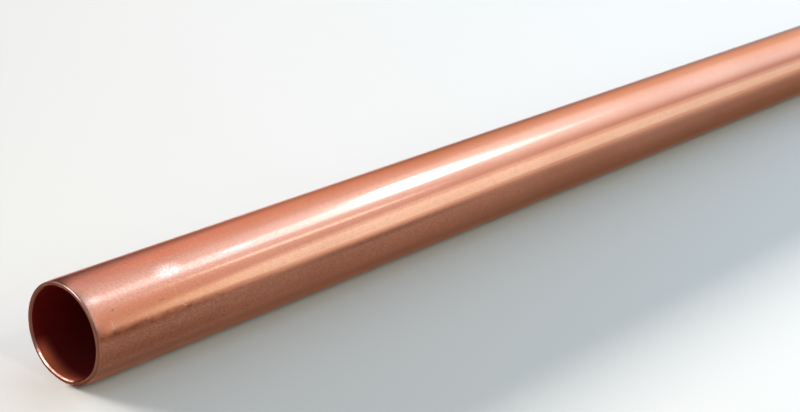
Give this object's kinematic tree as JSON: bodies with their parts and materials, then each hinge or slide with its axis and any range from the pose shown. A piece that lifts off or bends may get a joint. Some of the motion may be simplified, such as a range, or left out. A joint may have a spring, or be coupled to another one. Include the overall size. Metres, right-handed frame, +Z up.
{
  "type": "copper pipe",
  "caption": "Straight round copper water pipe, open at both ends, with square cut and deburred ends for push, compression or solder fittings.",
  "frame": {"origin": "on the floor under the middle of the pipe, where it rests", "axes": "+X along the pipe's axis, from the near end in the picture to the far end; +Z up; +Y level across the pipe"},
  "size_m": [1, 0.022, 0.022],
  "materials": {
    "copper": "bright drawn copper, lightly handled, with a soft sheen along its length"
  },
  "bodies": {
    "root": {"copper_pipe": "copper"}
  },
  "joints": []
}
